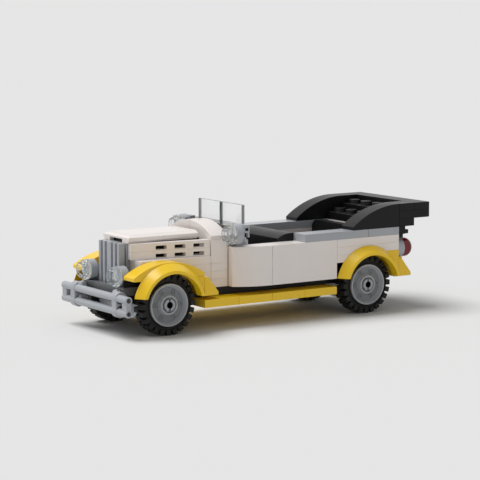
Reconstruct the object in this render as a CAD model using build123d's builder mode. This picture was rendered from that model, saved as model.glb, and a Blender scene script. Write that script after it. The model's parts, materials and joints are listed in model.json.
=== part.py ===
from build123d import *
import math
import os

os.makedirs("parts", exist_ok=True)

# Toy touring car put together from moulded building bricks.
# Millimetres. +X is forward, +Y is the car's left side, +Z is up, the wheels stand on Z = 0
# and the origin lies under the middle of the car.

# Building grid
STUD = 8.0
PLATE = 3.2
BRICK = 9.6
PLAY = 0.05
WALL = 1.5
STUD_R = 2.4
STUD_H = 1.7
TUBE_R = 3.25
LIP = 1.3

# Running gear
TYRE_R = 12.0
AXLE_Z = TYRE_R
HOLE_ABOVE_BASE = 5.8

# Places along the car, in studs from the back of the running boards
CANOPY_BACK = -6
BODY_BACK = -4
REAR_HUB = -2
CANOPY_FRONT = -1
DOOR_BACK = 0
BELT_FRONT = 2
SEAT_FRONT = 3
DOOR_SEAM = 4
SCREEN_BACK = 5
COWL_BACK = 6
COWL_FRONT = 7
BOARD_FRONT = 8
FRONT_HUB = 10
NOSE_FRONT = 12

# Places along the car that are off the grid, measured from the back of the running boards
SIDE_LAMP_HEEL = 45.4
BONNET_GAP = 2.0
BONNET_TIP = 90.0
GRILLE_HEEL = 88.3
GRILLE_FACE = 93.2
BAR_X = 99.2

# Places across the car, in studs from its middle
FRAME = 2
BODY = 3

BAR_R = 1.6
BASE_Z = AXLE_Z - HOLE_ABOVE_BASE
CAR_MIDDLE = (CANOPY_BACK * STUD + BAR_X + BAR_R) / 2

# Seams of the plate grid, counted from the bottom of the axle bricks, named by what starts there
BOARD_K = 1
SILL_K = 2
FLOOR_K = 3
SEAT_K = 4
FENDER_K = 5
ARCH_SEAT_K = 6
VENT_K = 7
BELT_K = 8
RIM_K = 9
SCREEN_K = 10
CANOPY_TOP_K = 12

SIDES = (1, -1)
SIDE_NAMES = {1: "left", -1: "right"}
AXLES = (("rear", REAR_HUB), ("front", FRONT_HUB))
WHEEL_FACE = BODY * STUD
BODY_IN = FRAME * STUD + PLAY
BODY_OUT = BODY * STUD - PLAY


def x_at(studs):
    """Place along the car, counted in studs from the back of the running boards."""
    return studs * STUD - CAR_MIDDLE


def z_at(plates):
    """Height of a seam of the plate grid."""
    return BASE_Z + plates * PLATE


def x_span(low, high):
    """X limits of a brick that covers the stated studs, less its side play."""
    return (x_at(low) + PLAY, x_at(high) - PLAY)


def y_limits(low, high, side):
    """Low and high Y of what lies between two distances from the middle, on the stated side."""
    return tuple(sorted((side * low, side * high)))


def y_span(low, high, side=1):
    """Y limits of a brick that covers the stated studs, on the left (1) or right (-1)."""
    return y_limits(low * STUD + PLAY, high * STUD - PLAY, side)


def z_span(low, high):
    """Heights between two seams of the plate grid."""
    return (z_at(low), z_at(high))


def block(xs, ys, zs, mode=Mode.ADD):
    """Block between the low and high ends given for each axis."""
    limits = (xs, ys, zs)
    size = [high - low for low, high in limits]
    with Locations(tuple((high + low) / 2 for low, high in limits)):
        return Box(*size, mode=mode)


def bar_along_y(x, z, radius, ys, mode=Mode.ADD):
    """Round bar that runs across the car."""
    with Locations(Location((x, sum(ys) / 2, z), (90, 0, 0))):
        return Cylinder(radius, ys[1] - ys[0], mode=mode)


def bar_along_x(y, z, radius, xs, mode=Mode.ADD):
    """Round bar that runs along the car."""
    with Locations(Location((sum(xs) / 2, y, z), (0, 90, 0))):
        return Cylinder(radius, xs[1] - xs[0], mode=mode)


def posts(x, y, z, radius, height, mode=Mode.ADD):
    """Upright round post that starts at height z."""
    with Locations((x, y, z)):
        Cylinder(radius, height, align=(Align.CENTER, Align.CENTER, Align.MIN), mode=mode)


def across(sketch, low, high, side, mode=Mode.ADD):
    """Extrude an outline in the XZ plane between two distances from the middle of the car."""
    near, far = y_limits(low, high, side)
    shifted = Location((0, near, 0)) * sketch
    extrude(to_extrude=shifted, amount=far - near, dir=(0, 1, 0), mode=mode)


def save(piece, name):
    piece.part.label = name
    export_step(piece.part, f"parts/{name}.step")


# Sill plate between the axles, hollow below with posts as a long plate has
POST_STEP = 3 * STUD
POSTS = 3
with BuildPart() as sill_plate:
    block(x_span(REAR_HUB + 1, FRONT_HUB - 1), y_span(-FRAME, FRAME), z_span(SILL_K, FLOOR_K))
    block(
        (x_at(DOOR_BACK) + WALL, x_at(BOARD_FRONT) - WALL),
        (WALL - STUD, STUD - WALL),
        (z_at(SILL_K), z_at(FLOOR_K) - LIP),
        Mode.SUBTRACT,
    )
    for row in range(POSTS):
        post_x = x_at((DOOR_BACK + BOARD_FRONT) / 2) + (row - (POSTS - 1) / 2) * POST_STEP
        posts(post_x, 0, z_at(SILL_K), TUBE_R, PLATE - LIP)
save(sill_plate, "sill_plate")

# Floor plate of the cabin
with BuildPart() as floor_plate:
    block(x_span(BODY_BACK, COWL_BACK), y_span(-FRAME, FRAME), z_span(FLOOR_K, SEAT_K))
save(floor_plate, "floor_plate")

# Axle bricks, hollow below with their middle tube, and the pins on their sides that carry the wheels
PIN_R = 2.4
RUN_GAP = 0.05
for end, hub in AXLES:
    with BuildPart() as axle_brick:
        block(x_span(hub - 1, hub + 1), y_span(-FRAME, FRAME), z_span(0, FLOOR_K))
        block(
            (x_at(hub - 1) + PLAY + WALL, x_at(hub + 1) - PLAY - WALL),
            (WALL + PLAY - FRAME * STUD, FRAME * STUD - PLAY - WALL),
            (z_at(0), z_at(FLOOR_K) - LIP),
            Mode.SUBTRACT,
        )
        posts(x_at(hub), 0, z_at(0), TUBE_R, BRICK - LIP)
        posts(x_at(hub), 0, z_at(0), STUD_R, BRICK - LIP, Mode.SUBTRACT)
    save(axle_brick, f"{end}_axle_brick")
    with BuildPart() as pins:
        for side in SIDES:
            bar_along_y(x_at(hub), AXLE_Z, PIN_R, y_limits(FRAME * STUD - PLAY, WHEEL_FACE, side))
    save(pins, f"{end}_pins")

# Rims: a recessed disc with a sloped lip, turned about the axle
LIP_R = 8.15
DISC_R = 7.2
DISC_DEPTH = 1.3
for end, hub in AXLES:
    for side in SIDES:
        with BuildPart() as rim:
            with BuildSketch(Plane(origin=(x_at(hub), 0, AXLE_Z), x_dir=(0, side, 0), z_dir=(-side, 0, 0))):
                with BuildLine():
                    Polyline(
                        (BODY_IN, PIN_R + RUN_GAP),
                        (WHEEL_FACE - DISC_DEPTH, PIN_R + RUN_GAP),
                        (WHEEL_FACE - DISC_DEPTH, DISC_R),
                        (BODY_OUT, LIP_R),
                        (BODY_IN, LIP_R),
                        close=True,
                    )
                make_face()
            revolve(axis=Axis((x_at(hub), 0, AXLE_Z), (0, 1, 0)))
        save(rim, f"{end}_rim_{SIDE_NAMES[side]}")

# Tyres: two rows of lugs, the second turned by half a step
TREAD_R = 10.6
LUGS = 24
LUG_SHARE = 0.55
TYRE_INSET = 0.9
TYRE_BACK_INSET = 0.5
TYRE_FACE = WHEEL_FACE - TYRE_INSET
TYRE_BACK = BODY_IN + TYRE_BACK_INSET
LUG_W = 2 * math.pi * TYRE_R / LUGS * LUG_SHARE
for end, hub in AXLES:
    for side in SIDES:
        with BuildPart() as tyre:
            middle = (TYRE_FACE + TYRE_BACK) / 2
            for row, (near, far) in enumerate(((TYRE_BACK, middle), (middle, TYRE_FACE))):
                turn = row * 180 / LUGS
                row_middle = (x_at(hub), side * near, AXLE_Z)
                row_plane = Plane(origin=row_middle, x_dir=(1, 0, 0), z_dir=(0, side, 0))
                with BuildSketch(row_plane):
                    RegularPolygon(TREAD_R, LUGS, major_radius=False, rotation=turn)
                    with PolarLocations(0, LUGS, start_angle=turn):
                        Rectangle(TYRE_R, LUG_W, align=(Align.MIN, Align.CENTER))
                    Circle(LIP_R, mode=Mode.SUBTRACT)
                extrude(amount=far - near)
        save(tyre, f"{end}_tyre_{SIDE_NAMES[side]}")

# Running boards: four tiles a side, under the sill and out to the doors' face
BOARD_TILE = 2
with BuildPart() as running_boards:
    for side in SIDES:
        for first in range(DOOR_BACK, BOARD_FRONT, BOARD_TILE):
            block(x_span(first, first + BOARD_TILE), y_span(1, BODY, side), z_span(BOARD_K, SILL_K))
save(running_boards, "running_boards")

# Doors: a flat tile behind and a curved slope in front, both standing on their side
DOOR_T = 3.2
DOOR_TIP = 19.0
with BuildPart() as rear_doors:
    for side in SIDES:
        block(
            x_span(DOOR_BACK, DOOR_SEAM),
            y_limits(WHEEL_FACE - DOOR_T, WHEEL_FACE, side),
            z_span(FLOOR_K, BELT_K),
        )
save(rear_doors, "rear_doors")
with BuildPart() as front_doors:
    for side in SIDES:
        with BuildSketch(Plane.XY.offset(z_at(FLOOR_K))):
            back, tip = x_span(DOOR_SEAM, COWL_BACK)
            with BuildLine():
                Line((back, side * BODY_IN), (back, side * WHEEL_FACE))
                TangentArc((back, side * WHEEL_FACE), (tip, side * DOOR_TIP), tangent=(1, 0))
                Line((tip, side * DOOR_TIP), (tip, side * BODY_IN))
                Line((tip, side * BODY_IN), (back, side * BODY_IN))
            make_face()
        extrude(amount=z_at(BELT_K) - z_at(FLOOR_K))
save(front_doors, "front_doors")

# Body sides behind the doors' tiles
with BuildPart() as side_walls:
    for side in SIDES:
        block(
            x_span(DOOR_BACK, DOOR_SEAM),
            y_limits(BODY_IN, WHEEL_FACE - DOOR_T, side),
            z_span(FLOOR_K, BELT_K),
        )
save(side_walls, "side_walls")

# Rear side plates above the fenders, notched round the wheel arch, every second layer in the same file
ARCH_R = 16.4
ARCH_WELL_R = 12.6
ARCH_EDGE_R = 13.8
ARCH_ROOF_R = 14.2
ARCH_FACE = 28.0
WEDGE_DROP = 1.6
LEG_DROP = 0.8


def arch_cut(hub):
    """Take the fender's roof out of a piece that lies against it."""
    bar_along_y(x_at(hub), AXLE_Z, ARCH_ROOF_R, (-WHEEL_FACE, WHEEL_FACE), Mode.SUBTRACT)


SIDE_LAYERS = (
    # name, then back, front and seam of each row of plates in it
    ("lower", ((BODY_BACK, DOOR_BACK, ARCH_SEAT_K),)),
    ("upper", ((BODY_BACK, DOOR_BACK, VENT_K), (BODY_BACK + 1, DOOR_BACK, FENDER_K))),
)
for name, rows in SIDE_LAYERS:
    with BuildPart() as side_plates:
        for back, front, seam in rows:
            for side in SIDES:
                block(x_span(back, front), y_span(FRAME, BODY, side), z_span(seam, seam + 1))
        arch_cut(REAR_HUB)
    save(side_plates, f"rear_side_plates_{name}")

# Fenders: a flared arch over each wheel with a roof behind it, turned about the axle and cut level
REACH = 2 * STUD * FRAME
for end, hub in AXLES:
    with BuildPart() as fenders:
        for side in SIDES:
            with BuildSketch(Plane(origin=(x_at(hub), 0, AXLE_Z), x_dir=(0, side, 0), z_dir=(side, 0, 0))):
                with BuildLine():
                    Polyline(
                        (BODY_IN, ARCH_WELL_R),
                        (ARCH_FACE, ARCH_WELL_R),
                        (ARCH_FACE, ARCH_EDGE_R),
                        (WHEEL_FACE, ARCH_R),
                        (WHEEL_FACE, ARCH_ROOF_R),
                        (BODY_IN, ARCH_ROOF_R),
                        close=True,
                    )
                make_face()
            revolve(axis=Axis((x_at(hub), 0, AXLE_Z), (0, 1, 0)))
        cuts = (
            # back and front from the axle, half width, top
            (0, REACH, REACH, z_at(FLOOR_K)),
            (-REACH, 0, REACH, z_at(FLOOR_K) - LEG_DROP),
            (-REACH, REACH, WHEEL_FACE, z_at(FENDER_K)),
        )
        for back, front, half, top in cuts:
            block((x_at(hub) + back, x_at(hub) + front), (-half, half), (AXLE_Z - REACH, top), Mode.SUBTRACT)
    save(fenders, f"{end}_fenders")

# Crowns of the front fenders: a curve that rises from a low tip and falls again
with BuildPart() as front_crowns:
    with BuildSketch(Plane.XZ) as crown_outline:
        tip, heel = x_at(NOSE_FRONT) - PLAY, x_at(BOARD_FRONT) + PLAY
        base, top, peak = z_at(FENDER_K), z_at(VENT_K), x_at(FRONT_HUB)
        with BuildLine():
            Line((heel, base), (tip, base))
            Line((tip, base), (tip, base + LIP))
            TangentArc((peak, top), (tip, base + LIP), tangent=(1, 0))
            TangentArc((peak, top), (heel, base + LIP), tangent=(-1, 0))
            Line((heel, base + LIP), (heel, base))
        make_face()
    for side in SIDES:
        across(crown_outline.sketch, BODY_IN, BODY_OUT, side)
    arch_cut(FRONT_HUB)
save(front_crowns, "front_crowns")

# Yellow blocks behind the rear arches, from the leg up to the side plates
with BuildPart() as rear_blocks:
    for side in SIDES:
        block(
            x_span(BODY_BACK, BODY_BACK + 1),
            y_span(FRAME, BODY, side),
            (z_at(FLOOR_K) - WEDGE_DROP, z_at(ARCH_SEAT_K)),
        )
    arch_cut(REAR_HUB)
save(rear_blocks, "rear_blocks")

# Black walls that close the recess between the doors and the rear arches
with BuildPart() as recess_walls:
    for side in SIDES:
        block(x_span(CANOPY_FRONT, DOOR_BACK), y_span(1, FRAME, side), z_span(SEAT_K, ARCH_SEAT_K))
save(recess_walls, "recess_walls")

# Wedges behind the fenders' rear legs
WEDGE_TOP = 1.6
WEDGE_BASE = 6.4
WEDGE_H = 7.4
for end, hub in AXLES:
    with BuildPart() as wedges:
        with BuildSketch(Plane.XZ) as wedge_outline:
            back = x_at(hub - FRAME)
            foot = z_at(FLOOR_K) - WEDGE_DROP
            with BuildLine():
                Polyline(
                    (back, foot),
                    (back, foot + WEDGE_H),
                    (back - WEDGE_TOP, foot + WEDGE_H),
                    (back - WEDGE_BASE, foot + LIP),
                    (back - WEDGE_BASE, foot),
                    close=True,
                )
            make_face()
        for side in SIDES:
            across(wedge_outline.sketch, BODY_IN, BODY_OUT, side)
    save(wedges, f"{end}_wedges")

# Wall behind the rear seat
with BuildPart() as rear_wall:
    block(x_span(BODY_BACK, BODY_BACK + 1), y_span(-FRAME, FRAME), z_span(SEAT_K, RIM_K))
save(rear_wall, "rear_wall")

# Belt tiles along the top of the body
with BuildPart() as belt_tiles:
    for side in SIDES:
        for low, high in ((BODY_BACK, REAR_HUB), (REAR_HUB, BELT_FRONT)):
            block(x_span(low, high), y_span(FRAME, BODY, side), z_span(BELT_K, RIM_K))
save(belt_tiles, "belt_tiles")

# Folded canopy: a curved side over each belt, then three stepped layers of plates behind and between
with BuildPart() as canopy_sides:
    with BuildSketch(Plane.XZ) as canopy_outline:
        tip, heel = x_at(CANOPY_FRONT) - PLAY, x_at(BODY_BACK) + PLAY
        base, top = z_at(RIM_K), z_at(CANOPY_TOP_K)
        with BuildLine():
            Line((heel, base), (heel, top))
            TangentArc((heel, top), (tip, base + LIP), tangent=(1, 0))
            Line((tip, base + LIP), (tip, base))
            Line((tip, base), (heel, base))
        make_face()
    for side in SIDES:
        across(canopy_outline.sketch, BODY_IN, BODY_OUT, side)
save(canopy_sides, "canopy_sides")
STUDS_ACROSS = 2 * FRAME
CANOPY_LAYERS = (
    # name, back, front of the full width, front between the sides, seam, has studs (studs from the back)
    ("low", 1, 2, 3, RIM_K, True),
    ("middle", 0, 2, 2, RIM_K + 1, True),
    ("top", 0, 1, 1, RIM_K + 2, False),
)
for layer, back, wide_front, front, seam, studded in CANOPY_LAYERS:
    plate_back, layer_zs = CANOPY_BACK + back, z_span(seam, seam + 1)
    with BuildPart() as canopy_plate:
        block(x_span(plate_back, CANOPY_BACK + wide_front), y_span(-BODY, BODY), layer_zs)
        if front > wide_front:
            block(x_span(plate_back, CANOPY_BACK + front), y_span(-FRAME, FRAME), layer_zs)
        if not studded:
            for side in SIDES:
                block(x_span(CANOPY_BACK + wide_front, BODY_BACK), y_span(FRAME, BODY, side), layer_zs)
        if studded:
            for row in range(STUDS_ACROSS):
                stud_x = x_at(CANOPY_BACK + front) - STUD / 2
                stud_y = (row - (STUDS_ACROSS - 1) / 2) * STUD
                posts(stud_x, stud_y, z_at(seam + 1), STUD_R, STUD_H)
    save(canopy_plate, f"canopy_plate_{layer}")

# Hinge ends behind the belt tiles, with the tooth that locks into the canopy's arm
HINGE_L = 3.2
TOOTH_L = 1.6
TOOTH_H = 1.6
TOOTH_RISE = 0.2
with BuildPart() as canopy_hinges:
    for side in SIDES:
        heel = x_at(BODY_BACK) - PLAY
        block((heel - HINGE_L, heel), y_limits(BODY_IN + WALL, BODY_OUT, side), z_span(BELT_K, RIM_K))
        block(
            (heel - HINGE_L - TOOTH_L, heel - HINGE_L),
            y_limits(BODY_IN + WALL, BODY_OUT, side),
            (z_at(BELT_K) + TOOTH_RISE, z_at(BELT_K) + TOOTH_RISE + TOOTH_H),
        )
save(canopy_hinges, "canopy_hinges")

# Plates under the cowl and the bonnet: every second layer is in the same file
COWL_XS = x_span(COWL_BACK, COWL_FRONT)
BONNET_XS = (x_at(COWL_FRONT) + PLAY, GRILLE_HEEL - CAR_MIDDLE - PLAY)
PLATE_LAYERS = (
    # name, seams of the plates under the cowl, seams of those under the bonnet
    ("one", (FLOOR_K, FENDER_K), (FLOOR_K, FENDER_K)),
    ("two", (SEAT_K,), (SEAT_K, ARCH_SEAT_K)),
)
for name, cowl_seams, bonnet_seams in PLATE_LAYERS:
    with BuildPart() as front_plates:
        for xs, seams in ((COWL_XS, cowl_seams), (BONNET_XS, bonnet_seams)):
            for seam in seams:
                block(xs, y_span(-FRAME, FRAME), z_span(seam, seam + 1))
    save(front_plates, f"front_plates_{name}")

# Cowl: a brick with two curved slopes on it
with BuildPart() as cowl_base:
    block(COWL_XS, y_span(-FRAME, FRAME), z_span(ARCH_SEAT_K, RIM_K))
save(cowl_base, "cowl_base")
COWL_RISE = 2 * PLATE
with BuildPart() as cowl_top:
    for side in SIDES:
        with BuildSketch(Plane.YZ) as cowl_outline:
            foot, crest = z_at(RIM_K), z_at(RIM_K) + COWL_RISE
            edge = FRAME * STUD - PLAY
            with BuildLine():
                Line((side * PLAY, foot), (side * PLAY, crest))
                TangentArc((side * PLAY, crest), (side * edge, foot + LIP), tangent=(side, 0))
                Line((side * edge, foot + LIP), (side * edge, foot))
                Line((side * edge, foot), (side * PLAY, foot))
            make_face()
        back, front = COWL_XS
        extrude(to_extrude=Location((back, 0, 0)) * cowl_outline.sketch, amount=front - back, dir=(1, 0, 0))
save(cowl_top, "cowl_top")

# Dash behind the cowl, and the windscreen panels that stand on it
with BuildPart() as dash:
    block(x_span(SCREEN_BACK, COWL_BACK), y_span(-FRAME, FRAME), z_span(BELT_K, SCREEN_K))
save(dash, "dash")
SCREEN_T = 1.5
SCREEN_BASE = 2.0
with BuildPart() as windscreen:
    for side in SIDES:
        back, front = x_span(SCREEN_BACK, COWL_BACK)
        block((back, front), y_span(0, FRAME, side), (z_at(SCREEN_K), z_at(SCREEN_K) + SCREEN_BASE))
        block((back, back + SCREEN_T), y_span(0, FRAME, side), (z_at(SCREEN_K), z_at(SCREEN_K) + BRICK))
save(windscreen, "windscreen")

# Lamps: a grey drum and a clear round plate in front of it, turned with its skirt forward
LAMP_R = 4.0
SKIRT_R = 3.2
LENS_T = 3.2
LENS_SHOULDER = 1.6
SIDE_LAMP_Y = 20.0
SIDE_LAMP_Z = 37.0
FRONT_LAMP_Y = 12.0
FRONT_LAMP_Z = 23.1
HOLDER_T = 2.4
HOLDER_RISE = 3.8
HOLDER_DROP = 3.2
HOLDER_FOOT = 2.5
with BuildPart() as lamp_holders:
    for side in SIDES:
        heel = SIDE_LAMP_HEEL - CAR_MIDDLE
        top = SIDE_LAMP_Z + HOLDER_RISE
        block((heel - HOLDER_T, heel), y_span(FRAME, BODY, side), (top - HOLDER_DROP, top))
        foot_ys = y_limits(BODY_IN, BODY_IN + HOLDER_FOOT, side)
        block((heel - HOLDER_T, heel), foot_ys, (z_at(BELT_K), top - HOLDER_DROP))
save(lamp_holders, "lamp_holders")
LAMP_ROWS = (
    # name, back face from the boards' back, distance from the middle, height
    ("side", SIDE_LAMP_HEEL, SIDE_LAMP_Y, SIDE_LAMP_Z),
    ("front", GRILLE_FACE, FRONT_LAMP_Y, FRONT_LAMP_Z),
)
for name, heel, out, height in LAMP_ROWS:
    back = heel - CAR_MIDDLE
    with BuildPart() as drums:
        for side in SIDES:
            bar_along_x(side * out, height, LAMP_R, (back, back + LENS_T))
    save(drums, f"{name}_lamp_drums")
    with BuildPart() as lenses:
        for side in SIDES:
            bar_along_x(side * out, height, LAMP_R, (back + LENS_T, back + LENS_T + LENS_SHOULDER))
            bar_along_x(side * out, height, SKIRT_R, (back + LENS_T + LENS_SHOULDER, back + 2 * LENS_T))
    save(lenses, f"{name}_lamp_lenses")

# Black plates on the apron, hollowed to clear the front lamps
TIP_IN = 14.0
NOSE_XS = (GRILLE_HEEL - CAR_MIDDLE, x_at(NOSE_FRONT) - PLAY)
with BuildPart() as tip_plates:
    for side in SIDES:
        block(NOSE_XS, y_limits(TIP_IN, FRAME * STUD - PLAY, side), z_span(SEAT_K, FENDER_K))
        bar_along_x(side * FRONT_LAMP_Y, FRONT_LAMP_Z, LAMP_R + PLAY, NOSE_XS, Mode.SUBTRACT)
save(tip_plates, "tip_plates")

# Bracket that carries the front lamps beside the grille
BRACKET_H = 2.0
BRACKET_W = 5.0
with BuildPart() as lamp_bracket:
    for side in SIDES:
        block(
            (GRILLE_FACE - CAR_MIDDLE - LENS_T / 2, GRILLE_FACE - CAR_MIDDLE),
            y_limits(STUD, STUD + BRACKET_W, side),
            (z_at(SEAT_K), FRONT_LAMP_Z + BRACKET_H),
        )
save(lamp_bracket, "lamp_bracket")

# Tail lamps
TAIL_Z = 25.8
with BuildPart() as tail_drums:
    for side in SIDES:
        back = x_at(BODY_BACK)
        bar_along_x(side * SIDE_LAMP_Y, TAIL_Z, LAMP_R, (back - LENS_T, back + PLAY))
save(tail_drums, "tail_lamp_drums")
with BuildPart() as tail_lenses:
    for side in SIDES:
        back = x_at(BODY_BACK) - LENS_T
        bar_along_x(side * SIDE_LAMP_Y, TAIL_Z, LAMP_R, (back - LENS_T, back))
save(tail_lenses, "tail_lamp_lenses")

# Bonnet: two tapered sides with vents in two layers, a dark core behind the vents and a bevelled top
TAPER = 8.4
LEAN_GAP = 0.45
SIDE_T = 3.0
VENT_W = 4.6
VENT_H = 1.5
VENT_START = 2.5
VENT_LIFT = 0.5
VENTS = 3
SIDE_LENGTH = 33.6
CORE_HALF = 7.4
for layer, seam in (("lower", VENT_K), ("upper", BELT_K)):
    with BuildPart() as bonnet_sides:
        for side in SIDES:
            lean = Plane(
                origin=(x_at(COWL_FRONT) + LEAN_GAP, side * (FRAME * STUD - PLAY), z_at(seam)),
                x_dir=(math.cos(math.radians(TAPER)), -side * math.sin(math.radians(TAPER)), 0),
                z_dir=(0, 0, 1),
            )
            with BuildSketch(lean):
                Rectangle(SIDE_LENGTH, SIDE_T, align=(Align.MIN, Align.MAX if side > 0 else Align.MIN))
            extrude(amount=PLATE)
            with BuildSketch(lean.offset(VENT_LIFT)):
                for vent in range(VENTS):
                    with Locations((VENT_START + vent * STUD, 0)):
                        Rectangle(VENT_W, 2 * SIDE_T, align=(Align.MIN, Align.CENTER))
            extrude(amount=VENT_H, mode=Mode.SUBTRACT)
    save(bonnet_sides, f"bonnet_sides_{layer}")
with BuildPart() as bonnet_core:
    block(BONNET_XS, (-CORE_HALF, CORE_HALF), z_span(VENT_K, RIM_K))
save(bonnet_core, "bonnet_core")
TOP_HALF = 10.0
TOP_UNDERCUT = 0.8
TOP_BEVEL = 2.0
TOP_LIP = 1.4
TOP_RISE = PLATE
TOP_SLOT_HALF = 4.8
TOP_SLOT_H = 1.4
top_base = z_at(RIM_K)
top_lip = top_base + TOP_UNDERCUT
top_crest = top_base + TOP_RISE
top_heel = COWL_FRONT * STUD + BONNET_GAP
top_seam = (top_heel + BONNET_TIP) / 2
for half_name, low, high in (("back", top_heel, top_seam), ("front", top_seam, BONNET_TIP)):
    start, stop = low - CAR_MIDDLE + PLAY, high - CAR_MIDDLE - PLAY
    with BuildPart() as bonnet_top:
        with BuildSketch(Plane.YZ) as top_outline:
            with BuildLine():
                Polyline(
                    (TOP_UNDERCUT - TOP_HALF, top_base),
                    (TOP_UNDERCUT - TOP_HALF, top_lip),
                    (-TOP_HALF, top_lip),
                    (-TOP_HALF, top_lip + TOP_LIP),
                    (TOP_BEVEL - TOP_HALF, top_crest),
                    (TOP_HALF - TOP_BEVEL, top_crest),
                    (TOP_HALF, top_lip + TOP_LIP),
                    (TOP_HALF, top_lip),
                    (TOP_HALF - TOP_UNDERCUT, top_lip),
                    (TOP_HALF - TOP_UNDERCUT, top_base),
                    close=True,
                )
            make_face()
        extrude(to_extrude=Location((start, 0, 0)) * top_outline.sketch, amount=stop - start, dir=(1, 0, 0))
        if half_name == "front":
            with BuildSketch(Plane.XZ) as nose_bevel:
                with BuildLine():
                    Polyline(
                        (stop - TOP_BEVEL, top_crest),
                        (stop, top_lip + TOP_LIP),
                        (stop, top_crest),
                        close=True,
                    )
                make_face()
            across(nose_bevel.sketch, -TOP_HALF, TOP_HALF, 1, Mode.SUBTRACT)
            block(
                (stop - TOP_BEVEL, stop),
                (-TOP_SLOT_HALF, TOP_SLOT_HALF),
                (top_base, top_base + TOP_SLOT_H),
                Mode.SUBTRACT,
            )
    save(bonnet_top, f"bonnet_top_{half_name}")

# Grille: two fluted bricks in front of a backing plate
GRILLE_GAP = 0.6
GRILLE_T = 2.6
GROOVE_W = 1.6
GROOVE_DEPTH = 1.2
with BuildPart() as grille:
    face, heel = GRILLE_FACE - CAR_MIDDLE, GRILLE_HEEL - CAR_MIDDLE
    block((heel, face), (-STUD + PLAY, STUD - PLAY), z_span(SEAT_K, RIM_K))
    for side in SIDES:
        block(
            (face - GRILLE_T - GRILLE_GAP, face - GRILLE_T),
            y_limits(STUD - WALL, STUD, side),
            z_span(SEAT_K, RIM_K),
            Mode.SUBTRACT,
        )
        for groove in (-1, 1):
            middle = STUD / 2 + groove * GROOVE_W
            block(
                (face - GROOVE_DEPTH, face),
                y_limits(middle - GROOVE_W / 2, middle + GROOVE_W / 2, side),
                z_span(SEAT_K, RIM_K),
                Mode.SUBTRACT,
            )
save(grille, "grille")

# Apron across the nose
with BuildPart() as apron:
    block(NOSE_XS, y_span(-FRAME, FRAME), z_span(SILL_K, SEAT_K))
save(apron, "apron")

# Bumper: two bars through a collar on each side, joined by a web at their ends
BAR_TOP_Z = 15.5
BAR_LOW_Z = 10.4
BAR_OUT = 25.5
COLLAR_IN = 14.6
COLLAR_OUT = 18.2
COLLAR_RISE = 1.8
WEB_IN = 22.0
with BuildPart() as bumper:
    bar_x = BAR_X - CAR_MIDDLE
    for z in (BAR_LOW_Z, BAR_TOP_Z):
        bar_along_y(bar_x, z, BAR_R, (-BAR_OUT, BAR_OUT))
    for side in SIDES:
        block(
            (x_at(NOSE_FRONT), bar_x + BAR_R),
            y_limits(COLLAR_IN, COLLAR_OUT, side),
            (BAR_LOW_Z - COLLAR_RISE, BAR_TOP_Z + COLLAR_RISE),
        )
        block((bar_x - BAR_R, bar_x), y_limits(WEB_IN, BAR_OUT, side), (BAR_LOW_Z, BAR_TOP_Z))
save(bumper, "bumper")

# Front seat: a cushion and a back with a curved top
SEAT_FLAT = 1.4
SEAT_DROP = 1.9
with BuildPart() as front_seat:
    block(x_span(SEAT_FRONT, DOOR_SEAM), y_span(-FRAME, FRAME), z_span(SEAT_K, ARCH_SEAT_K))
    with BuildSketch(Plane.XZ) as seat_outline:
        back, front = x_at(BELT_FRONT) + PLAY, x_at(SEAT_FRONT) + PLAY
        base, top = z_at(SEAT_K), z_at(RIM_K)
        with BuildLine():
            Line((back, base), (back, top))
            Line((back, top), (back + SEAT_FLAT, top))
            TangentArc((back + SEAT_FLAT, top), (front, top - SEAT_DROP), tangent=(1, 0))
            Line((front, top - SEAT_DROP), (front, base))
            Line((front, base), (back, base))
        make_face()
    across(seat_outline.sketch, PLAY - FRAME * STUD, FRAME * STUD - PLAY, 1)
save(front_seat, "front_seat")

# Rear seat: a cushion in front of an upright plate with rounded upper corners
UPRIGHT_TOP = 35.4
UPRIGHT_CORNER = 3.4
with BuildPart() as rear_seat:
    block(x_span(REAR_HUB, CANOPY_FRONT), y_span(-FRAME, FRAME), z_span(SEAT_K, ARCH_SEAT_K))
    with BuildSketch(Plane.YZ) as upright_outline:
        half, base = FRAME * STUD - PLAY, z_at(SEAT_K)
        inset, shoulder = half - UPRIGHT_CORNER, UPRIGHT_TOP - UPRIGHT_CORNER
        with BuildLine():
            Polyline((-half, shoulder), (-half, base), (half, base), (half, shoulder))
            RadiusArc((half, shoulder), (inset, UPRIGHT_TOP), -UPRIGHT_CORNER)
            Line((inset, UPRIGHT_TOP), (-inset, UPRIGHT_TOP))
            RadiusArc((-inset, UPRIGHT_TOP), (-half, shoulder), -UPRIGHT_CORNER)
        make_face()
    start = Location((x_at(REAR_HUB) + PLAY - PLATE, 0, 0))
    extrude(to_extrude=start * upright_outline.sketch, amount=PLATE, dir=(1, 0, 0))
save(rear_seat, "rear_seat")
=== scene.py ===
import bpy
import bmesh
import json
import math
from mathutils import Matrix, Vector


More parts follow.
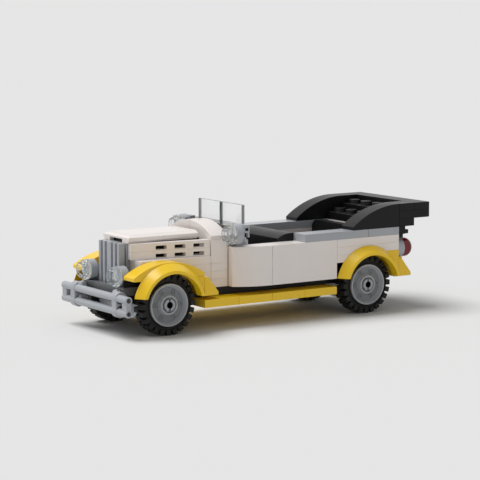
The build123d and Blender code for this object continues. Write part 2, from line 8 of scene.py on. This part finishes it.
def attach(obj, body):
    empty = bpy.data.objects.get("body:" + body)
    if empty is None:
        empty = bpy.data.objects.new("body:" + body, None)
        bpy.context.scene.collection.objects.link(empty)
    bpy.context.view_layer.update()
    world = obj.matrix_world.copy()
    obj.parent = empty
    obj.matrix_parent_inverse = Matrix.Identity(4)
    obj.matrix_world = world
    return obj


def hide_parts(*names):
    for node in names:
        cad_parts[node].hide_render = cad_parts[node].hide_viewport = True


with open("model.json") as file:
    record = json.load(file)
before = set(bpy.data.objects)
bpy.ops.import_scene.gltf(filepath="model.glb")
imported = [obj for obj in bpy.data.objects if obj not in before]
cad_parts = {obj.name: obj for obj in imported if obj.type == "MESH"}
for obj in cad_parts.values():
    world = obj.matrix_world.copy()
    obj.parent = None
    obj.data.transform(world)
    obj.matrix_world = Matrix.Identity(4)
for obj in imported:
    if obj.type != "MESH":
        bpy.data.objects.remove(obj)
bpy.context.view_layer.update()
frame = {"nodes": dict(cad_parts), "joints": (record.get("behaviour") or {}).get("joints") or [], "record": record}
mm = 0.001
nodes = frame["nodes"]
nodeSlots = {part["node"]: part["material_slot"] for part in frame["record"]["subparts"]}
print("frame loaded:", len(nodes), "nodes")


def srgb(hexText, alpha=1.0):
    # written as a picture editor shows it, handed over as linear light
    parts = [int(hexText[i:i + 2], 16) / 255 for i in (1, 3, 5)]
    return [c / 12.92 if c <= 0.04045 else ((c + 0.055) / 1.055) ** 2.4 for c in parts] + [alpha]


def addNode(tree, kind, settings=None, links=None):
    # one node with its settings, and links as input name -> output socket
    node = tree.nodes.new(kind)
    for name, value in (settings or {}).items():
        if name in node.inputs:
            node.inputs[name].default_value = value
        else:
            setattr(node, name, value)
    for name, socket in (links or {}).items():
        tree.links.new(socket, node.inputs[name])
    return node


def newMaterial(name):
    material = bpy.data.materials.new(name)
    material.use_nodes = True
    tree = material.node_tree
    tree.nodes.clear()
    return material, tree


def finishMaterial(tree, shader):
    output = addNode(tree, "ShaderNodeOutputMaterial")
    tree.links.new(shader.outputs[0], output.inputs["Surface"])


# injection moulded ABS: a hard even gloss with a very faint ripple from the mould and a haze of handling
absLook = dict(ior=1.53, specular=0.3, roughness=0.24, hazeSpread=0.07, hazeSize=9 * mm,
               rippleSize=2.2 * mm, rippleDepth=0.004 * mm, toneSpread=0.03)


def mouldedAbs(name, colour, roughness=absLook["roughness"], specular=absLook["specular"]):
    material, tree = newMaterial(name)
    place = addNode(tree, "ShaderNodeTexCoord")
    haze = addNode(tree, "ShaderNodeTexNoise", {"Scale": 1 / absLook["hazeSize"], "Detail": 3.0},
                   {"Vector": place.outputs["Object"]})
    gloss = addNode(tree, "ShaderNodeMapRange",
                    {"To Min": roughness - absLook["hazeSpread"], "To Max": roughness + absLook["hazeSpread"]},
                    {"Value": haze.outputs["Fac"]})
    pale = addNode(tree, "ShaderNodeMapRange",
                   {"To Min": 1 - absLook["toneSpread"], "To Max": 1 + absLook["toneSpread"]},
                   {"Value": haze.outputs["Fac"]})
    tone = addNode(tree, "ShaderNodeHueSaturation", {"Color": srgb(colour)}, {"Value": pale.outputs["Result"]})
    ripple = addNode(tree, "ShaderNodeTexNoise", {"Scale": 1 / absLook["rippleSize"], "Detail": 1.0},
                     {"Vector": place.outputs["Object"]})
    bump = addNode(tree, "ShaderNodeBump", {"Strength": 1.0, "Distance": absLook["rippleDepth"]},
                   {"Height": ripple.outputs["Fac"]})
    shader = addNode(tree, "ShaderNodeBsdfPrincipled",
                     {"IOR": absLook["ior"], "Specular IOR Level": specular},
                     {"Base Color": tone.outputs["Color"], "Roughness": gloss.outputs["Result"],
                      "Normal": bump.outputs["Normal"]})
    finishMaterial(tree, shader)
    return material


# clear moulded polycarbonate: water clear through the face; handed a grey, it paints the shade where light is lost
# along an edge
clearLook = dict(ior=1.42, roughness=0.03, rippleSize=3.0 * mm, rippleDepth=0.006 * mm)


def mouldedPolycarbonate(name, colour, cover, through=1.0):
    material, tree = newMaterial(name)
    place = addNode(tree, "ShaderNodeTexCoord")
    ripple = addNode(tree, "ShaderNodeTexNoise", {"Scale": 1 / clearLook["rippleSize"], "Detail": 1.0},
                     {"Vector": place.outputs["Object"]})
    bump = addNode(tree, "ShaderNodeBump", {"Strength": 1.0, "Distance": clearLook["rippleDepth"]},
                   {"Height": ripple.outputs["Fac"]})
    shader = addNode(tree, "ShaderNodeBsdfPrincipled",
                     {"Base Color": srgb(colour), "IOR": clearLook["ior"], "Roughness": clearLook["roughness"],
                      "Transmission Weight": through, "Alpha": cover},
                     {"Normal": bump.outputs["Normal"]})
    finishMaterial(tree, shader)
    return material


# moulded thermoplastic rubber: near black, soft sheen, fine grain from the mould and a little dust in it
rubberLook = dict(ior=1.5, specular=0.25, roughness=0.55, grainSize=0.5 * mm, grainDepth=0.02 * mm, dustSize=4 * mm)


def mouldedRubber(name, colour, dusty):
    material, tree = newMaterial(name)
    place = addNode(tree, "ShaderNodeTexCoord")
    dust = addNode(tree, "ShaderNodeTexNoise", {"Scale": 1 / rubberLook["dustSize"], "Detail": 4.0},
                   {"Vector": place.outputs["Object"]})
    tone = addNode(tree, "ShaderNodeMix", {"data_type": "RGBA", "A": srgb(colour), "B": srgb(dusty)},
                   {"Factor": dust.outputs["Fac"]})
    grain = addNode(tree, "ShaderNodeTexNoise", {"Scale": 1 / rubberLook["grainSize"], "Detail": 2.0},
                    {"Vector": place.outputs["Object"]})
    bump = addNode(tree, "ShaderNodeBump", {"Strength": 1.0, "Distance": rubberLook["grainDepth"]},
                   {"Height": grain.outputs["Fac"]})
    shader = addNode(tree, "ShaderNodeBsdfPrincipled",
                     {"IOR": rubberLook["ior"], "Specular IOR Level": rubberLook["specular"],
                      "Roughness": rubberLook["roughness"]},
                     {"Base Color": tone.outputs["Result"], "Normal": bump.outputs["Normal"]})
    finishMaterial(tree, shader)
    return material


finishes = dict(
    white=mouldedAbs("whiteMouldedAbs", "#F1E9E4"),
    yellow=mouldedAbs("yellowMouldedAbs", "#F8CC14", specular=0.45),
    black=mouldedAbs("blackMouldedAbs", "#181819", roughness=0.34, specular=0.16),
    light_grey=mouldedAbs("lightGreyMouldedAbs", "#ACAFB4"),
    dark_grey=mouldedAbs("darkGreyMouldedAbs", "#6A6B6D"),
    clear=mouldedPolycarbonate("clearMouldedPolycarbonate", "#F4F8F8", cover=0.65),
    clear_red=mouldedPolycarbonate("redMouldedPolycarbonate", "#8A1015", cover=1.0, through=0.5),
    tyre=mouldedRubber("blackMouldedRubber", "#141414", dusty="#222120"),
)
print("moulded finishes mixed:", len(finishes))

# how the edges of a moulded piece are broken, and what counts as an edge
edgeLook = dict(radius=0.13 * mm, segments=2, sharpOver=30, mergeWithin=0.002 * mm, flatWithin=0.5, creaseOver=50)


def breakEdges(bm, radius):
    corners = [edge for edge in bm.edges
               if len(edge.link_faces) == 2 and edge.calc_face_angle() > math.radians(edgeLook["sharpOver"])]
    bmesh.ops.bevel(bm, geom=corners, offset=radius, offset_type="OFFSET", segments=edgeLook["segments"],
                    profile=0.5, affect="EDGES", clamp_overlap=False, material=-1)


def closeUp(bm):
    bmesh.ops.remove_doubles(bm, verts=bm.verts, dist=edgeLook["mergeWithin"])
    bmesh.ops.recalc_face_normals(bm, faces=bm.faces)


def turnProfile(bm, profile, centre, axis, steps, loop=True):
    # pairs of place along the axis and radius, in millimetres, spun once round; a loop joins its last to its first
    out = axis.orthogonal().normalized()
    corners = [bm.verts.new(centre + axis * along * mm + out * radius * mm) for along, radius in profile]
    first = 0 if loop else 1
    line = [bm.edges.new((corners[i - 1], corners[i])) for i in range(first, len(corners))]
    bmesh.ops.spin(bm, geom=corners + line, cent=centre, axis=axis, angle=2 * math.pi, steps=steps, use_merge=True)


def addBlock(bm, low, high, side=1, turn=Matrix.Identity(4)):
    # block between two corners in millimetres, on the left or the right side, then turned about the origin
    middle = Vector((low[i] + high[i]) / 2 * mm for i in range(3))
    middle.y *= side
    size = [(high[i] - low[i]) * mm for i in range(3)] + [1.0]
    place = Matrix.Translation(middle) @ Matrix.Diagonal(size)
    return bmesh.ops.create_cube(bm, size=1.0, matrix=turn @ place)["verts"]


def addMirrored(bm):
    # the same again on the car's other side
    twin = bmesh.ops.duplicate(bm, geom=bm.verts[:] + bm.edges[:] + bm.faces[:])["geom"]
    twinVerts = [item for item in twin if isinstance(item, bmesh.types.BMVert)]
    bmesh.ops.scale(bm, vec=(1, -1, 1), verts=twinVerts)


def placePiece(bm, name, body, slotName, standsFor):
    closeUp(bm)
    mesh = bpy.data.meshes.new(name)
    bm.to_mesh(mesh)
    bm.free()
    mesh.shade_smooth()
    mesh.set_sharp_from_angle(angle=math.radians(edgeLook["creaseOver"]))
    mesh.materials.append(finishes[slotName])
    piece = bpy.data.objects.new(name, mesh)
    bpy.context.collection.objects.link(piece)
    evenNormals = piece.modifiers.new("evenNormals", "WEIGHTED_NORMAL")
    evenNormals.keep_sharp = True
    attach(piece, body)
    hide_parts(*standsFor)
    return piece


# wheels: a turned rim with six bolts on its disc, and a tyre with two staggered rows of lugs
rimLook = dict(
    steps=96,
    # place out from the middle of the car, and radius
    profile=((16.1, 2.45), (22.2, 2.45), (22.2, 3.0), (23.6, 3.05), (23.72, 3.15), (23.72, 3.7), (23.6, 3.82),
             (22.1, 3.9), (21.9, 4.1), (21.9, 6.8), (22.05, 7.0), (23.6, 7.72), (23.85, 7.85), (23.9, 7.95),
             (23.9, 8.2), (23.8, 8.36), (16.25, 8.36), (16.1, 8.25)),
    # the disc's colour is painted shade, a darker grey than the rim's own
    discFace=21.9, discDepth=0.6, discFrom=4.0, discTo=7.0, discColour="#85888B", discRoughness=0.42,
    bolts=6, boltCircle=5.6, boltSteps=20,
    # place out from the disc's face, and radius
    boltProfile=((-0.3, 0), (-0.3, 0.9), (0.22, 0.9), (0.3, 0.82), (0.3, 0.62), (-0.1, 0.55), (-0.1, 0)))
tyreLook = dict(
    steps=96,
    profile=((17.3, 8.34), (22.8, 8.34), (22.95, 8.5), (22.95, 8.75), (22.6, 9.0), (22.6, 10.1), (22.3, 10.6),
             (17.5, 10.6), (17.15, 10.1), (17.15, 8.5)),
    lugs=24, lugR=12.0, lugFoot=9.9, lugWidth=2.1, lugEdge=0.16 * mm,
    # from, to (out from the car's middle), and shift in lugs
    rows=((19.85, 23.08, 0.0), (16.65, 19.85, 0.5)))
# the joints say where each wheel's hub is
hubs = {joint["child"]: Vector(joint["pos_m"]) for joint in frame["joints"]}
across = Vector((0, 1, 0))


def setOnAxle(bm, hub, side):
    # from the left side of the car's middle to its axle, turned over for the right
    bmesh.ops.scale(bm, vec=(1, side, 1), verts=bm.verts)
    bmesh.ops.translate(bm, vec=(hub.x, 0, hub.z), verts=bm.verts)


# the same plastic, rougher, in a darker grey that is painted shade on the disc's recessed face
discShadeFinish = mouldedAbs("greyMouldedAbsDisc", rimLook["discColour"], rimLook["discRoughness"])
for body, hub in hubs.items():
    end, sideName = body.split("_")[:2]
    side = 1 if hub.y > 0 else -1
    rim = bmesh.new()
    turnProfile(rim, rimLook["profile"], Vector(), across, rimLook["steps"])
    for bolt in range(rimLook["bolts"]):
        angle = 2 * math.pi * bolt / rimLook["bolts"]
        seat = Vector((math.cos(angle), 0, math.sin(angle))) * rimLook["boltCircle"] + across * rimLook["discFace"]
        turnProfile(rim, rimLook["boltProfile"], seat * mm, across, rimLook["boltSteps"], loop=False)
    # painted shade: the recessed disc's faces take the darker grey of the second material
    for face in rim.faces:
        middle = face.calc_center_median() / mm
        inDiscShade = rimLook["discFrom"] < math.hypot(middle.x, middle.z) < rimLook["discTo"]
        if inDiscShade and middle.y < rimLook["discFace"] + rimLook["discDepth"]:
            face.material_index = 1
    setOnAxle(rim, hub, side)
    rimPiece = placePiece(rim, f"{end}{sideName.title()}Rim", body, "light_grey", [f"{end}_rim_{sideName}"])
    rimPiece.data.materials.append(discShadeFinish)
    tyre = bmesh.new()
    half = tyreLook["lugWidth"] / 2
    for near, far, shift in tyreLook["rows"]:
        for lug in range(tyreLook["lugs"]):
            turn = Matrix.Rotation(2 * math.pi * (lug + shift) / tyreLook["lugs"], 4, "Y")
            addBlock(tyre, (-half, near, tyreLook["lugFoot"]), (half, far, tyreLook["lugR"]), turn=turn)
    breakEdges(tyre, tyreLook["lugEdge"])
    turnProfile(tyre, tyreLook["profile"], Vector(), across, tyreLook["steps"])
    setOnAxle(tyre, hub, side)
    placePiece(tyre, f"{end}{sideName.title()}Tyre", body, "tyre", [f"{end}_tyre_{sideName}"])

# pins that the wheels turn on: split tubes whose halves spring apart
pinLook = dict(innerR=1.35, boreWithin=1.45, outerR=2.38, start=15.9, stop=23.98, slit=0.6, steps=24)
for end in ("front", "rear"):
    pins = bmesh.new()
    spare = math.asin(pinLook["slit"] / 2 / pinLook["innerR"])
    for half in (0, 1):
        corners = [pins.verts.new(Vector((0, along * mm, radius * mm))) for along, radius in (
            (pinLook["start"], pinLook["innerR"]), (pinLook["stop"], pinLook["innerR"]),
            (pinLook["stop"], pinLook["outerR"]), (pinLook["start"], pinLook["outerR"]))]
        face = pins.faces.new(corners)
        turn = Matrix.Rotation(half * math.pi + spare, 3, "Y")
        bmesh.ops.rotate(pins, verts=corners, cent=(0, 0, 0), matrix=turn)
        bmesh.ops.spin(pins, geom=corners + face.edges[:] + [face], cent=(0, 0, 0), axis=(0, 1, 0),
                       angle=math.pi - 2 * spare, steps=pinLook["steps"])
    bmesh.ops.holes_fill(pins, edges=[edge for edge in pins.edges if edge.is_boundary], sides=4)
    # painted shade: the bore's faces take black for the dark inside the tube
    for face in pins.faces:
        middle = face.calc_center_median() / mm
        if math.hypot(middle.x, middle.z) < pinLook["boreWithin"]:
            face.material_index = 1
    addMirrored(pins)
    setOnAxle(pins, hubs[f"{end}_left_wheel"], 1)
    pinPiece = placePiece(pins, f"{end}Pins", "car", "light_grey", [f"{end}_pins"])
    # the second material, black, is the bore's painted shade
    pinPiece.data.materials.append(finishes["black"])
print("wheels and pins made")

# lamps: clear round plates with an open skirt in front, and domed red ones at the tail
lensLook = dict(
    steps=64,
    # place out from the drum's face, which the back just clears, and radius
    plate=((0.03, 0.0), (0.03, 3.85), (0.15, 4.0), (1.45, 4.0), (1.6, 3.85), (1.6, 3.2), (3.05, 3.2), (3.2, 3.05),
           (3.2, 2.5), (3.1, 2.4), (1.0, 2.4), (1.0, 0.0)),
    dome=((0.03, 0.0), (0.03, 3.85), (0.15, 4.0), (2.2, 4.0), (3.1, 3.8), (3.9, 3.35), (4.55, 2.65), (5.0, 1.8),
          (5.25, 0.9), (5.3, 0.0)),
    # name, slot, profile, way it faces, place of the back, out from the middle, height
    rows=(("front", "clear", "plate", 1, 70.0, 12.0, 23.1),
          ("side", "clear", "plate", 1, 22.2, 20.0, 37.0),
          ("tail", "clear_red", "dome", -1, -61.6, 20.0, 25.8)))
for name, slotName, shape, facing, back, out, height in lensLook["rows"]:
    lenses = bmesh.new()
    for side in (1, -1):
        turnProfile(lenses, lensLook[shape], Vector((back, side * out, height)) * mm, Vector((facing, 0, 0)),
                    lensLook["steps"], loop=False)
    placePiece(lenses, f"{name}LampLenses", "car", slotName, [f"{name}_lamp_lenses"])
print("lamp lenses made")

# bumper: two bars with open ends, each through a tall collar, joined near the ends by a web
bumperLook = dict(
    steps=32, heights=(10.4, 15.5), barX=72.7, collarX=71.9,
    # place across the car, and radius
    bar=((-22.9, 0), (-22.9, 0.95), (-25.5, 0.95), (-25.5, 1.4), (-25.35, 1.55),
         (25.35, 1.55), (25.5, 1.4), (25.5, 0.95), (22.9, 0.95), (22.9, 0)),
    collar=((14.6, 0), (14.6, 2.3), (14.8, 2.5), (18.0, 2.5), (18.2, 2.3), (18.2, 0)),
    nub=((12.2, 0), (12.2, 1.35), (12.35, 1.5), (14.6, 1.5), (14.6, 0)), nubX=71.2, nubRise=1.3, nubSteps=20,
    # low and high corner on the left side: waist of the collar, foot to the apron, web, prong behind the end
    blocks=(((69.4, 14.6, 10.4), (74.15, 18.2, 15.5)),
            ((69.6, 15.0, 10.6), (71.9, 17.8, 15.3)),
            ((71.6, 22.0, 11.5), (73.8, 25.4, 14.4)),
            ((69.6, 23.0, 9.6), (71.6, 25.4, 10.8))))
bumper = bmesh.new()
for side in (1, -1):
    for low, high in bumperLook["blocks"]:
        addBlock(bumper, low, high, side)
breakEdges(bumper, edgeLook["radius"])
for height in bumperLook["heights"]:
    turnProfile(bumper, bumperLook["bar"], Vector((bumperLook["barX"], 0, height)) * mm, across,
                bumperLook["steps"], loop=False)
    for side in (1, -1):
        turnProfile(bumper, bumperLook["collar"], Vector((bumperLook["collarX"], 0, height)) * mm, across * side,
                    bumperLook["steps"], loop=False)
        turnProfile(bumper, bumperLook["nub"],
                    Vector((bumperLook["nubX"], 0, height + bumperLook["nubRise"])) * mm, across * side,
                    bumperLook["nubSteps"], loop=False)
placePiece(bumper, "bumperBars", "car", "light_grey", ["bumper"])
print("bumper made")

# every other moulding is a merged copy of its solid, with flat faces joined and edges broken
mouldingLook = dict(
    # small blocks that the solids leave out, as low and high corners in millimetres on the left side
    finer=dict(
        front_fenders=(((37.7, 16.05, 15.0), (39.7, 23.95, 22.15)), ((39.7, 16.05, 18.6), (41.4, 23.95, 22.15))),
        lamp_holders=(((16.6, 22.6, 35.8), (17.4, 23.95, 37.6)), ((18.1, 22.6, 34.2), (19.0, 23.95, 35.9)),
                      ((17.1, 22.2, 32.6), (18.0, 23.6, 35.0))),
        canopy_hinges=(((-60.9, 20.6, 30.2), (-58.5, 23.4, 32.0)), ((-63.2, 21.0, 31.9), (-60.5, 23.8, 33.4)),
                       ((-62.4, 17.0, 30.8), (-60.0, 20.0, 33.0))),
        rear_wedges=(((-60.6, 20.6, 21.5), (-58.6, 23.4, 22.2)),)),
    # black sheets set in hollows, the same way: painted shade for the shadow inside the lamp holders and the
    # bonnet's nose slot
    inner=dict(
        lamp_holders=(((17.2, 23.9, 38.4), (18.7, 23.97, 39.6)),),
        bonnet_top_front=(((61.2, 0.01, 35.02), (61.75, 4.75, 36.38)),)),
    # height up to which a moulding's faces are black, above it its own colour
    blackBelow=dict(apron=15.8))
# the windscreen's panes are clear seen through their faces, with painted shade along their edges: a grey for the
# light lost there
paneLook = dict(colour="#F4F8F8", cover=0.1, edgeColour="#4C5053", edgeCover=0.9, edgeThrough=0.3, faceWithin=0.8)
paneFinish = mouldedPolycarbonate("paneMouldedPolycarbonate", paneLook["colour"], paneLook["cover"])
paneEdgeShadeFinish = mouldedPolycarbonate("paneEdgeMouldedPolycarbonate", paneLook["edgeColour"],
                                      paneLook["edgeCover"], paneLook["edgeThrough"])
made = [name for name in nodes if nodes[name].hide_render]
for nodeName in nodes:
    if nodeName in made:
        continue
    moulding = bmesh.new()
    moulding.from_mesh(nodes[nodeName].data)
    bmesh.ops.remove_doubles(moulding, verts=moulding.verts, dist=edgeLook["mergeWithin"])
    bmesh.ops.dissolve_limit(moulding, angle_limit=math.radians(edgeLook["flatWithin"]), verts=moulding.verts,
                             edges=moulding.edges)
    blackTop = mouldingLook["blackBelow"].get(nodeName, 0) * mm
    if blackTop:
        bmesh.ops.bisect_plane(moulding, geom=moulding.verts[:] + moulding.edges[:] + moulding.faces[:],
                               plane_co=(0, 0, blackTop), plane_no=(0, 0, 1))
    for side in (1, -1):
        for low, high in mouldingLook["finer"].get(nodeName, ()):
            addBlock(moulding, low, high, side)
    bmesh.ops.recalc_face_normals(moulding, faces=moulding.faces)
    breakEdges(moulding, edgeLook["radius"])
    for side in (1, -1):
        # painted shade: the sheets' faces take black
        for low, high in mouldingLook["inner"].get(nodeName, ()):
            corners = addBlock(moulding, low, high, side)
            for face in {face for corner in corners for face in corner.link_faces}:
                face.material_index = 1
    for face in moulding.faces:
        if face.calc_center_median().z < blackTop:
            face.material_index = 1
    words = nodeName.split("_")
    piece = placePiece(moulding, words[0] + "".join(word.title() for word in words[1:]), "car",
                       nodeSlots[nodeName], [nodeName])
    # black as second material: for the faces below the black height, and as painted shade on the sheets
    if blackTop or nodeName in mouldingLook["inner"]:
        piece.data.materials.append(finishes["black"])
    if nodeName == "windscreen":
        piece.data.materials[0] = paneFinish
        piece.data.materials.append(paneEdgeShadeFinish)
        # painted shade: faces not facing forward or back, the panes' edges, take the grey
        for polygon in piece.data.polygons:
            polygon.material_index = 1 if abs(polygon.normal.x) < paneLook["faceWithin"] else 0
print("mouldings with broken edges made")

# pale seamless sweep the car stands on
stageLook = dict(colour="#DFDFDE", size=60.0, roughness=0.9)
bpy.ops.mesh.primitive_plane_add(size=stageLook["size"])
floor = bpy.context.object
floor.name = "paleFloor"
floorMaterial, floorTree = newMaterial("matPaperSweep")
floorShader = addNode(floorTree, "ShaderNodeBsdfPrincipled",
                      {"Base Color": srgb(stageLook["colour"]), "Roughness": stageLook["roughness"],
                       "Specular IOR Level": 0.0})
finishMaterial(floorTree, floorShader)
floor.data.materials.append(floorMaterial)

# soft studio light: an even white room and one large lamp high behind the far shoulder
lightLook = dict(roomColour="#FCFDFF", roomStrength=0.37, backdrop="#E7E7E6",
                 keyStrength=2.4, keyAngle=38, keyFrom=(0.29, -0.30, 1.0))
world = bpy.data.worlds.new("paleRoom")
bpy.context.scene.world = world
world.use_nodes = True
room = world.node_tree
room.nodes.clear()
rays = addNode(room, "ShaderNodeLightPath")
seen = addNode(room, "ShaderNodeMath", {"operation": "MAXIMUM"},
               {0: rays.outputs["Is Camera Ray"], 1: rays.outputs["Is Glossy Ray"]})
seenAtAll = addNode(room, "ShaderNodeMath", {"operation": "MAXIMUM"},
                    {0: seen.outputs["Value"], 1: rays.outputs["Is Transmission Ray"]})
roomLight = addNode(room, "ShaderNodeBackground",
                    {"Color": srgb(lightLook["roomColour"]), "Strength": lightLook["roomStrength"]})
backdrop = addNode(room, "ShaderNodeBackground", {"Color": srgb(lightLook["backdrop"]), "Strength": 1.0})
choice = addNode(room, "ShaderNodeMixShader", {},
                 {0: seenAtAll.outputs["Value"], 1: roomLight.outputs[0], 2: backdrop.outputs[0]})
addNode(room, "ShaderNodeOutputWorld", {}, {"Surface": choice.outputs[0]})
keyData = bpy.data.lights.new("keyLamp", "SUN")
keyData.energy = lightLook["keyStrength"]
keyData.angle = math.radians(lightLook["keyAngle"])
key = bpy.data.objects.new("keyLamp", keyData)
key.rotation_euler = Vector(lightLook["keyFrom"]).to_track_quat("Z", "Y").to_euler()
bpy.context.collection.objects.link(key)
print("floor and lamps placed")

# the photo's view: azimuth is turned from the car's left side towards its nose
viewLook = dict(azimuth=33.645, elevation=7.311, place=(433.26 * mm, 643.14 * mm, 130.50 * mm),
                focalPixels=1908.18, framePixels=480, sensorWidth=36, clipStart=10 * mm)
turn, rise = math.radians(viewLook["azimuth"]), math.radians(viewLook["elevation"])
towardsCamera = Vector((math.sin(turn) * math.cos(rise), math.cos(turn) * math.cos(rise), math.sin(rise)))
cameraData = bpy.data.cameras.new("photoView")
cameraData.sensor_width = viewLook["sensorWidth"]
cameraData.lens = cameraData.sensor_width * viewLook["focalPixels"] / viewLook["framePixels"]
cameraData.clip_start = viewLook["clipStart"]
camera = bpy.data.objects.new("photoView", cameraData)
camera.location = viewLook["place"]
camera.rotation_euler = towardsCamera.to_track_quat("Z", "Y").to_euler()
bpy.context.collection.objects.link(camera)
bpy.context.scene.camera = camera
bpy.context.scene.view_settings.view_transform = "Standard"
